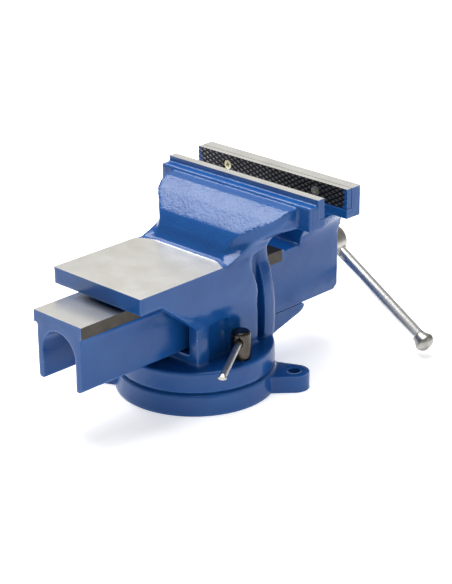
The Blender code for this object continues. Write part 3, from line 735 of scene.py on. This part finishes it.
# %% Hatched plates
DIAMOND_LONG = 6.5                       # one diamond along the jaw
DIAMOND_HIGH = 3.7                       # and up it
GROOVE_HALF = 0.8                        # half the width of a groove at the surface
GROOVE_DEPTH = 0.6
PLATE_CELL = 0.42
SPRAY_MM = 3.4                           # the paint reaches this far from an end
SPRAY_RAGGED = 1.6                       # and about this much more or less
PLATE_SCREW_X = 44.0
PLATE_SCREW_Z = 139.0
COUNTERSINK_R = 3.85
SHANK_HOLE_R = 2.35


def hatch_depth(x, z):
    """0 on a diamond's point, GROOVE_DEPTH in the middle of a groove: distance to the nearest diagonal."""
    pitch = 1 / math.hypot(1 / DIAMOND_LONG, 1 / DIAMOND_HIGH)

    def one_set(u):
        """One set of parallel V grooves: 1 in the middle of a groove, and 0 beyond its edges."""
        apart = np.abs(u % 1.0 - 0.5) * pitch
        return np.clip(1 - apart / GROOVE_HALF, 0, 1)

    along, up = x / DIAMOND_LONG, z / DIAMOND_HIGH
    return GROOVE_DEPTH * np.maximum(one_set(along + up), one_set(along - up))


def hatched_plate(name, node, face, out, body):
    """A closed plate: a hatched grid in front, a flat one behind, and a wall from edge to edge."""
    low, high = box_of(node)
    x = np.linspace(low[0], high[0], round((high[0] - low[0]) / PLATE_CELL) + 1)
    z = np.linspace(low[2], high[2], round((high[2] - low[2]) / PLATE_CELL) + 1)
    x, z = np.meshgrid(x, z, indexing="ij")
    depth = hatch_depth(x, z)
    front = np.stack([x, face - out * depth, z], -1)
    back = front.copy()
    back[:, :, 1] = low[1] if out > 0 else high[1]
    rows, columns = depth.shape
    points = np.concatenate([front.reshape(-1, 3), back.reshape(-1, 3)])
    i, k = np.meshgrid(np.arange(rows - 1), np.arange(columns - 1), indexing="ij")
    here = (i * columns + k).ravel()
    sheet = np.stack([here, here + columns, here + columns + 1, here + 1], -1)
    if out > 0:
        sheet = sheet[:, ::-1]
    far = sheet[:, ::-1] + rows * columns
    edge = np.concatenate([np.arange(columns - 1), (np.arange(rows - 1) + 1) * columns - 1,
                           (rows - 1) * columns + np.arange(columns - 1, 0, -1),
                           np.arange(rows - 1, 0, -1) * columns])
    follow = np.roll(edge, -1)
    wall = np.stack([edge, follow, follow + rows * columns, edge + rows * columns], -1)
    if out < 0:
        wall = wall[:, ::-1]
    land = np.concatenate([(depth < 0.06).ravel(), np.zeros(rows * columns)]) * 0.75
    faces = np.concatenate([sheet, far, wall])
    corners = points[faces]
    ground = corners[:, :, 2].min(1) > high[2] - 0.01
    middle = corners.mean(1)
    ragged = SPRAY_RAGGED * skin_waves(middle, 61, 2.5, 9.0)
    sprayed = np.abs(middle[:, 0]) > high[0] - SPRAY_MM + ragged
    finish = np.where(ground, 1, np.where(sprayed, 2, 0))
    plate = mesh_object(name, points, faces.tolist(), [BLACKENED, MILLED, ENAMEL], finish, 25.0, land=land)
    sunk = np.array([(SHANK_HOLE_R, -9.0), (SHANK_HOLE_R, -2.2), (COUNTERSINK_R, -0.7), (COUNTERSINK_R, 3.0)])
    for at in (-PLATE_SCREW_X, PLATE_SCREW_X):
        hole = turned_piece("screw_hole", sunk, (at, face, PLATE_SCREW_Z), (0, out, 0), 40, BLACKENED)
        cut_away(plate, hole)
    placed(plate, body, "black_plate", node)


hatched_plate("fixed_plate_hatched", "fixed_jaw_plate", FIXED_FACE, -1, "turret")
hatched_plate("moving_plate_hatched", "moving_jaw_plate", MOVING_FACE, 1, "carriage")

# %% [markdown]
# ## Plate screws
# A countersunk screw with a cross recess holds each end of a plate. Its head is made of close rings, so
# that the recess can be a depth worked out at every point: deep where the point lies within the cross,
# with sloping walls.

# %% Countersunk screws
ARM_LONG = 1.85                          # from the middle of the cross to an arm's tip
ARM_HALF = 0.5
RECESS_DEPTH = 1.6
RECESS_WALL = 0.3                        # how far in from an arm's edge the recess is full deep
HEAD_RINGS = 34                          # close rings over the flat of the head


def recess_depth(x, y):
    """Depth of a cross: how far the point is inside the nearer of two crossing bars, over the wall."""
    upright = np.minimum(ARM_HALF - np.abs(x), ARM_LONG - np.abs(y))
    level = np.minimum(ARM_HALF - np.abs(y), ARM_LONG - np.abs(x))
    return RECESS_DEPTH * smoothstep(np.maximum(upright, level), -RECESS_WALL * 0.4, RECESS_WALL)


def plate_screw(name, node, at, out, body, turn_deg):
    """The head from its middle outwards as rings, then its cone and shank, with the recess sunk in."""
    radius = np.concatenate([np.linspace(0.06, 3.3, HEAD_RINGS), [3.45, 3.55, 3.55, 2.0, 2.0, 1.5]])
    run = np.concatenate([np.full(HEAD_RINGS, -0.35), [-0.38, -0.48, -0.75, -2.5, -12.4, -13.0]])
    profile = np.stack([radius, run], -1)
    turn = math.radians(turn_deg)

    def shaped(points):
        """Sinks the recess, turned to where this screw was left when it was tight."""
        local = points - np.array(at)
        u = local[..., 0] * math.cos(turn) + local[..., 2] * math.sin(turn)
        v = -local[..., 0] * math.sin(turn) + local[..., 2] * math.cos(turn)
        head = (np.arange(len(profile)) < HEAD_RINGS + 2)[:, None]
        points[..., 1] -= out * recess_depth(u, v) * head
        return points

    piece = turned_piece(name, profile, at, (0, out, 0), 72, YELLOW, shaped)
    placed(piece, body, "yellow_zinc", node)


for side, x, turn in (("left", -PLATE_SCREW_X, 18), ("right", PLATE_SCREW_X, 40)):
    for jaw_name, face, out, rider, more in (("fixed", FIXED_FACE, -1, "turret", 0),
                                             ("moving", MOVING_FACE, 1, "carriage", 25)):
        plate_screw(f"{jaw_name}_screw_{side}", f"{jaw_name}_plate_screw_{side}",
                    (x, face, PLATE_SCREW_Z), out, rider, turn + more)

# %% [markdown]
# ## Lead screw
# The spindle is one bar: a head that the handle passes through, a plain neck in the jaw's front wall,
# and a 16 x 4 mm trapezoidal thread. The thread is a radius that depends on where a point is along
# the bar and round it: the flank position is run / lead minus the turn, and the profile there is a
# trapezoid.

# %% Threaded spindle
LEAD_MM = 4.0
SCREW_R = 8.0
CORE_R = 6.1
NECK_R = 7.0
HEAD_R = 13.0
HEAD_BACK = -133.6                       # the head's flat, against the washer
NECK_END = -108.0
COLUMNS = 56                             # points round the thread
BORE_R = 5.5                             # the handle's hole through the head


def thread_height(phase):
    """Trapezoid from 0 in the root to 1 on the crest, over one turn's phase from 0 to 1."""
    return np.clip(2.9 * np.abs(phase % 1.0 - 0.5) - 0.22, 0, 1)


def threaded(points):
    """Pulls the points of the threaded stretch in to the thread's radius."""
    axis = np.array([0.0, 0.0, SCREW_AT[2]])
    local = points - axis
    y = local[..., 1]
    radius = np.hypot(local[..., 0], local[..., 2])
    turn = np.arctan2(local[..., 2], local[..., 0]) / math.tau
    height = thread_height(y / LEAD_MM - turn)
    runout = smoothstep(y, NECK_END, NECK_END + 5)
    wanted = CORE_R + (SCREW_R - CORE_R) * height
    wanted = radius + (np.minimum(wanted, radius) - radius) * runout
    factor = np.where((y > NECK_END) & (radius > 0.1), wanted / np.maximum(radius, 0.1), 1.0)
    local[..., 0] *= factor
    local[..., 2] *= factor
    return local + axis


screw_low, screw_high = box_of("lead_screw")
head = rounded([(0.05, screw_low[1]), (7.0, screw_low[1]), (11.2, screw_low[1] + 1.7),
                (HEAD_R, screw_low[1] + 4.8), (HEAD_R, HEAD_BACK - 2.8), (HEAD_R - 1, HEAD_BACK),
                (NECK_R + 0.2, HEAD_BACK), (NECK_R, HEAD_BACK + 1)], 1.0)
runs = np.arange(NECK_END - 1, screw_high[1] - 2, 0.4)
bar = np.stack([np.full(len(runs), SCREW_R), runs], -1)
bar[:2, 0] = NECK_R
tail = np.array([(SCREW_R - 1.9, screw_high[1]), (0.05, screw_high[1])])
spindle = turned_piece("lead_screw_threaded", np.concatenate([head, bar, tail]), (0, 0, SCREW_AT[2]),
                       (0, 1, 0), COLUMNS, TURNED, threaded)
bore = np.array([(0.05, -22), (BORE_R + 5, -22), (BORE_R + 5, -14.5), (BORE_R, -10.9), (BORE_R, 10.9),
                 (BORE_R + 5, 14.5), (BORE_R + 5, 22), (0.05, 22)])
cut_away(spindle, turned_piece("handle_bore", bore, SCREW_AT, HANDLE_WAY, 48, TURNED))
placed(spindle, "spindle", "machined_steel", "lead_screw")

# %% [markdown]
# ## Handle
# The handle is a polished bar that slides through the screw's head. Its ends are upset in a forging
# press, so they swell into knobs with a slightly uneven rim. Bar and knobs are turned profiles, and a
# few low waves give the knobs their hammered look.

# %% Bar and knobs
HANDLE_R = 5.0
KNOB_MM = 13.0                           # length of a knob
PRESS_GAP = 0.1                          # between the bar's shoulder and a knob
SPIGOT_R = 3.0                           # the bar's ends inside the knobs
HANDLE_LOW = -117.0                      # ends of the handle, from the screw's axis
HANDLE_HIGH = 62.0
KNOB_CAP_R = 7.9
BAR_RINGS = 60
low, high = HANDLE_LOW + KNOB_MM + PRESS_GAP, HANDLE_HIGH - KNOB_MM - PRESS_GAP
core = rounded([(0.05, low - 11), (SPIGOT_R, low - 11), (SPIGOT_R, low), (HANDLE_R, low),
                (HANDLE_R, high), (SPIGOT_R, high), (SPIGOT_R, high + 11), (0.05, high + 11)], 0.25, 2)
half = len(core) // 2
bar_rings = np.stack([np.full(BAR_RINGS, HANDLE_R), np.linspace(low + 0.5, high - 0.5, BAR_RINGS)], -1)
core = np.concatenate([core[:half], bar_rings, core[half:]])
handle_bar = turned_piece("handle_bar_polished", core, SCREW_AT, HANDLE_WAY, 48, POLISHED)
placed(handle_bar, "handle", "polished_steel", "handle_bar")


def knob(name, node, start, outward, seed):
    """An upset end: an S curve from the bar's radius to the rim, then a domed cap."""
    t = np.linspace(0, 1, 22)
    flank = np.stack([HANDLE_R + 0.15 + 2.75 * smoothstep(t, 0.05, 0.95), 0.62 * KNOB_MM * t], -1)
    turn = np.linspace(0.06, math.pi / 2 - 0.02, 12)
    cap = np.stack([KNOB_CAP_R * np.cos(turn) ** 0.75, KNOB_MM * (0.62 + 0.38 * np.sin(turn) ** 1.3)], -1)
    profile = np.concatenate([[(SPIGOT_R + 0.15, 0.0)], flank, cap, [(0.05, KNOB_MM)]])

    def hammered(points):
        """Low waves, stronger towards the cap."""
        axis_points = np.array(SCREW_AT) + HANDLE_WAY * (start + outward * profile[:, 1])[:, None]
        away = points - axis_points[:, None]
        lumps = skin_waves(points.reshape(-1, 3), seed, 5.0, 14.0).reshape(points.shape[:2])
        amount = 0.045 * smoothstep(profile[:, 1], 2.0, KNOB_MM * 0.7)[:, None]
        return axis_points[:, None] + away * (1 + lumps * amount)[..., None] * (1 - amount)[..., None]

    at = SCREW_AT + HANDLE_WAY * start
    piece = turned_piece(name, profile, at, HANDLE_WAY * outward, 48, FORGED, hammered)
    placed(piece, "handle", "polished_steel", node)


knob("handle_knob_low", "handle_knob_left", HANDLE_LOW + KNOB_MM, -1, 5)
knob("handle_knob_high", "handle_knob_right", HANDLE_HIGH - KNOB_MM, 1, 8)

# %% [markdown]
# ## Swivel locks
# A tall round nut clamps the deck on each side, and a thin bar slides through it. The bar's ends are
# pinched flat in a press after it is put in, so that it can't fall out. The nut is a turned profile
# with a cross hole cut by a Boolean.

# %% Lock nuts and bars
LOCK_NUT_R = 7.3
NUT_BORE_R = 4.35                        # over the T-bolt
NUT_BORE_TOP = 42.0                      # the bore is blind
LOCK_BAR_R = 2.5
BAR_IN, BAR_OUT = -11.0, 66.0            # ends of the bar, from the nut's axis
PINCH_FULL, PINCH_END = 0.9, 2.3         # from an end: pinched flat to the first, and round from the second


def lock_nut(side):
    """A closed nut: up the bore, over the foot, up the barrel and over the chamfer."""
    node = f"lock_nut_{side}"
    low, high = box_of(node)
    at = np.array(JOINTS[f"lock_turn_{side}"]["pos_m"]) / MM
    outer = rounded([(NUT_BORE_R, low[2]), (LOCK_NUT_R - 0.5, low[2]), (LOCK_NUT_R, low[2] + 0.8),
                     (LOCK_NUT_R, high[2] - 1.5), (LOCK_NUT_R - 1.4, high[2]), (0.05, high[2])], 0.5)
    profile = np.concatenate([[(0.05, NUT_BORE_TOP), (NUT_BORE_R, NUT_BORE_TOP)], outer])
    profile[:, 1] -= at[2]
    nut = turned_piece(f"{node}_satin", profile, at, (0, 0, 1), 56, SATIN)
    way = np.array(JOINTS[f"lock_bar_slide_{side}"]["axis"])
    mouth = LOCK_NUT_R - 0.5
    bore = LOCK_BAR_R + 0.5
    wide = bore + 1.0
    hole = np.array([(0.05, -16), (wide, -16), (wide, -mouth - 0.6), (bore, -mouth + 0.4),
                     (bore, mouth - 0.4), (wide, mouth + 0.6), (wide, 16), (0.05, 16)])
    cut_away(nut, turned_piece("bar_hole", hole, at, way, 32, SATIN))
    placed(nut, f"lock_{side}", "satin_steel", node)
    lock_bar(side, at, way)


def lock_bar(side, at, way):
    """A round bar whose last two millimetres are pinched: wider one way and thinner the other."""
    runs = np.linspace(BAR_IN + 0.5, BAR_OUT - 0.5, 90)
    body = np.stack([np.full(len(runs), LOCK_BAR_R), runs], -1)
    profile = np.concatenate([[(0.05, BAR_IN), (LOCK_BAR_R - 0.35, BAR_IN)], body,
                              [(LOCK_BAR_R - 0.35, BAR_OUT), (0.05, BAR_OUT)]])
    wide, thin, _ = axis_frame(way)

    def pinched(points):
        """Scales across the bar near its ends: this part can't pass through the nut's hole."""
        centre = at + way * profile[:, 1][:, None]
        near = np.minimum(profile[:, 1] - BAR_IN, BAR_OUT - profile[:, 1])
        squeeze = (1 - smoothstep(near, PINCH_FULL, PINCH_END))[:, None]
        away = points - centre[:, None]
        across, through = away @ wide, away @ thin
        across = across * (1 + 0.3 * squeeze)
        through = through * (1 - 0.38 * squeeze)
        return centre[:, None] + across[..., None] * wide + through[..., None] * thin

    piece = turned_piece(f"lock_bar_{side}_pinched", profile, at, way, 28, TURNED, pinched)
    placed(piece, f"lock_bar_{side}_body", "satin_steel", f"lock_bar_{side}")


lock_nut("left")
lock_nut("right")

# %% [markdown]
# ## Pieces that keep their CAD mesh
# Nut, bolts, washers and the collar are plain machined shapes, mostly out of sight inside the beam and
# under the deck. Their CAD meshes are right, so they only take their finish.

# %% Finishes of the hidden pieces
ZINC_PLATED = ("nut_bolt", "nut_bolt_washer", "lock_bolt_left", "lock_bolt_right", "thrust_washer",
               "retaining_collar", "collar_pin")
HIDDEN = {"lead_nut": CAST, **dict.fromkeys(ZINC_PLATED, ZINC)}
for node, finish in HIDDEN.items():
    for slot in frame["nodes"][node].material_slots:
        slot.material = finish
print("finished in place:", len(HIDDEN))

# %% [markdown]
# ## Studio
# A back-lit white table and large soft lights, as for a catalogue. The floor is wide enough to fill the
# view behind the vise. A big panel overhead lights whatever faces up. A smaller one, high beyond the
# vise, is what the jaw's flare mirrors towards the camera, and a wide one farther off is what the
# milled faces mirror. A weak panel at the camera's right greys the near cheeks. The near left has none,
# so the faces that look that way keep a deep blue.

# %% Floor, lights and world
FLOOR_HALF = 6.0
TABLE_GLOW = 0.5                         # the table is lit from below, which keeps its shadows faint
WORLD_GLOW = 0.36
floor = mesh_object("floor", np.array([(-1, -1, 0), (1, -1, 0), (1, 1, 0), (-1, 1, 0)]) * FLOOR_HALF / MM,
                    [(0, 1, 2, 3)], [])
acrylic, tree, shader, place = finish_named("back_lit_white_acrylic", 0.9, 0.0)
grain = ranged(tree, noise(tree, place, 400.0, 2.0), 0.3, 0.7)
tree.links.new(mixed(tree, grain, "#F4F4F4", "#F7F7F7"), shader.inputs["Base Color"])
shader.inputs["Emission Color"].default_value = linear("#FFFFFF")
shader.inputs["Emission Strength"].default_value = TABLE_GLOW
floor.data.materials.append(acrylic)


AIM = (0.0, 0.0, 0.08)                   # the middle of the vise


def panel(name, at, size, power):
    """A square soft white light, turned to face the vise. Its side is in metres, and its power in watts."""
    light = bpy.data.lights.new(name, "AREA")
    light.shape = "SQUARE"
    light.size = size
    light.energy = power
    lamp = bpy.data.objects.new(name, light)
    bpy.context.scene.collection.objects.link(lamp)
    way = Vector(AIM) - Vector(at)
    lamp.matrix_world = Matrix.Translation(at) @ way.to_track_quat("-Z", "Y").to_matrix().to_4x4()


panel("overhead", (0.25, -0.05, 1.4), 0.95, 22.0)
panel("far_high", (0.95, -0.2, 1.2), 0.6, 7.5)
panel("near_side", (-1.7, -0.5, 0.7), 1.2, 3.0)
panel("far_side", (1.3, -2.1, 1.1), 1.8, 3.5)

world = bpy.data.worlds.new("studio")
world.use_nodes = True
world.node_tree.nodes["Background"].inputs["Color"].default_value = (1.0, 1.0, 1.0, 1.0)
world.node_tree.nodes["Background"].inputs["Strength"].default_value = WORLD_GLOW
bpy.context.scene.world = world
